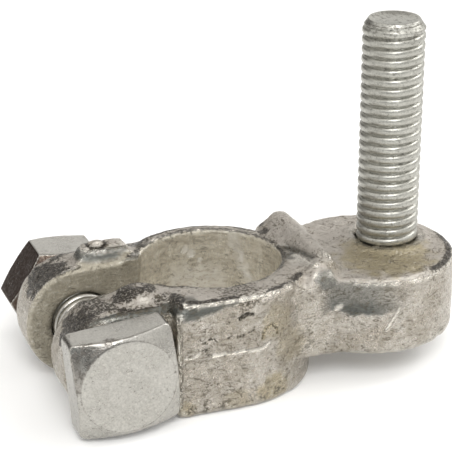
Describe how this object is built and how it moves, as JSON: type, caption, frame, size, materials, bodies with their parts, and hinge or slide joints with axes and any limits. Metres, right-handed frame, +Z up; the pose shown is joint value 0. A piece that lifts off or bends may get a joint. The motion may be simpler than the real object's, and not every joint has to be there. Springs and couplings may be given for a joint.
{
  "type": "battery terminal clamp",
  "caption": "Cast battery post clamp: split ring closed by a square-headed pinch bolt and nut, with a threaded stud standing on a round pad for a cable lug.",
  "frame": {"origin": "on the battery post's axis, in the plane the ring stands on", "axes": "+Z up along the post, +X towards the cable stud, -Y towards the bolt's square head"},
  "size_m": [0.0552, 0.035, 0.0435],
  "materials": {
    "tinned_casting": "tinned, cast, satin",
    "zinc_steel": "zinc plated, satin"
  },
  "bodies": {
    "clamp": {"clamp_body": "tinned_casting", "terminal_stud": "zinc_steel"},
    "bolt": {"clamp_bolt": "zinc_steel"},
    "nut": {"clamp_nut": "zinc_steel"}
  },
  "joints": [
    {"name": "nut_turn", "type": "hinge", "parent": "clamp", "child": "nut", "pos_m": [-0.01575, 0.0103, 0.0072], "axis": [0, 1, 0], "range_deg": [0, 2700]},
    {"name": "bolt_slide", "type": "slide", "parent": "clamp", "child": "bolt", "axis": [0, -1, 0], "range_m": [0, 0.0094]}
  ],
  "couplings": [
    {"joint": "bolt_slide", "follows": "nut_turn", "m_per_rad": 0.00019894}
  ]
}
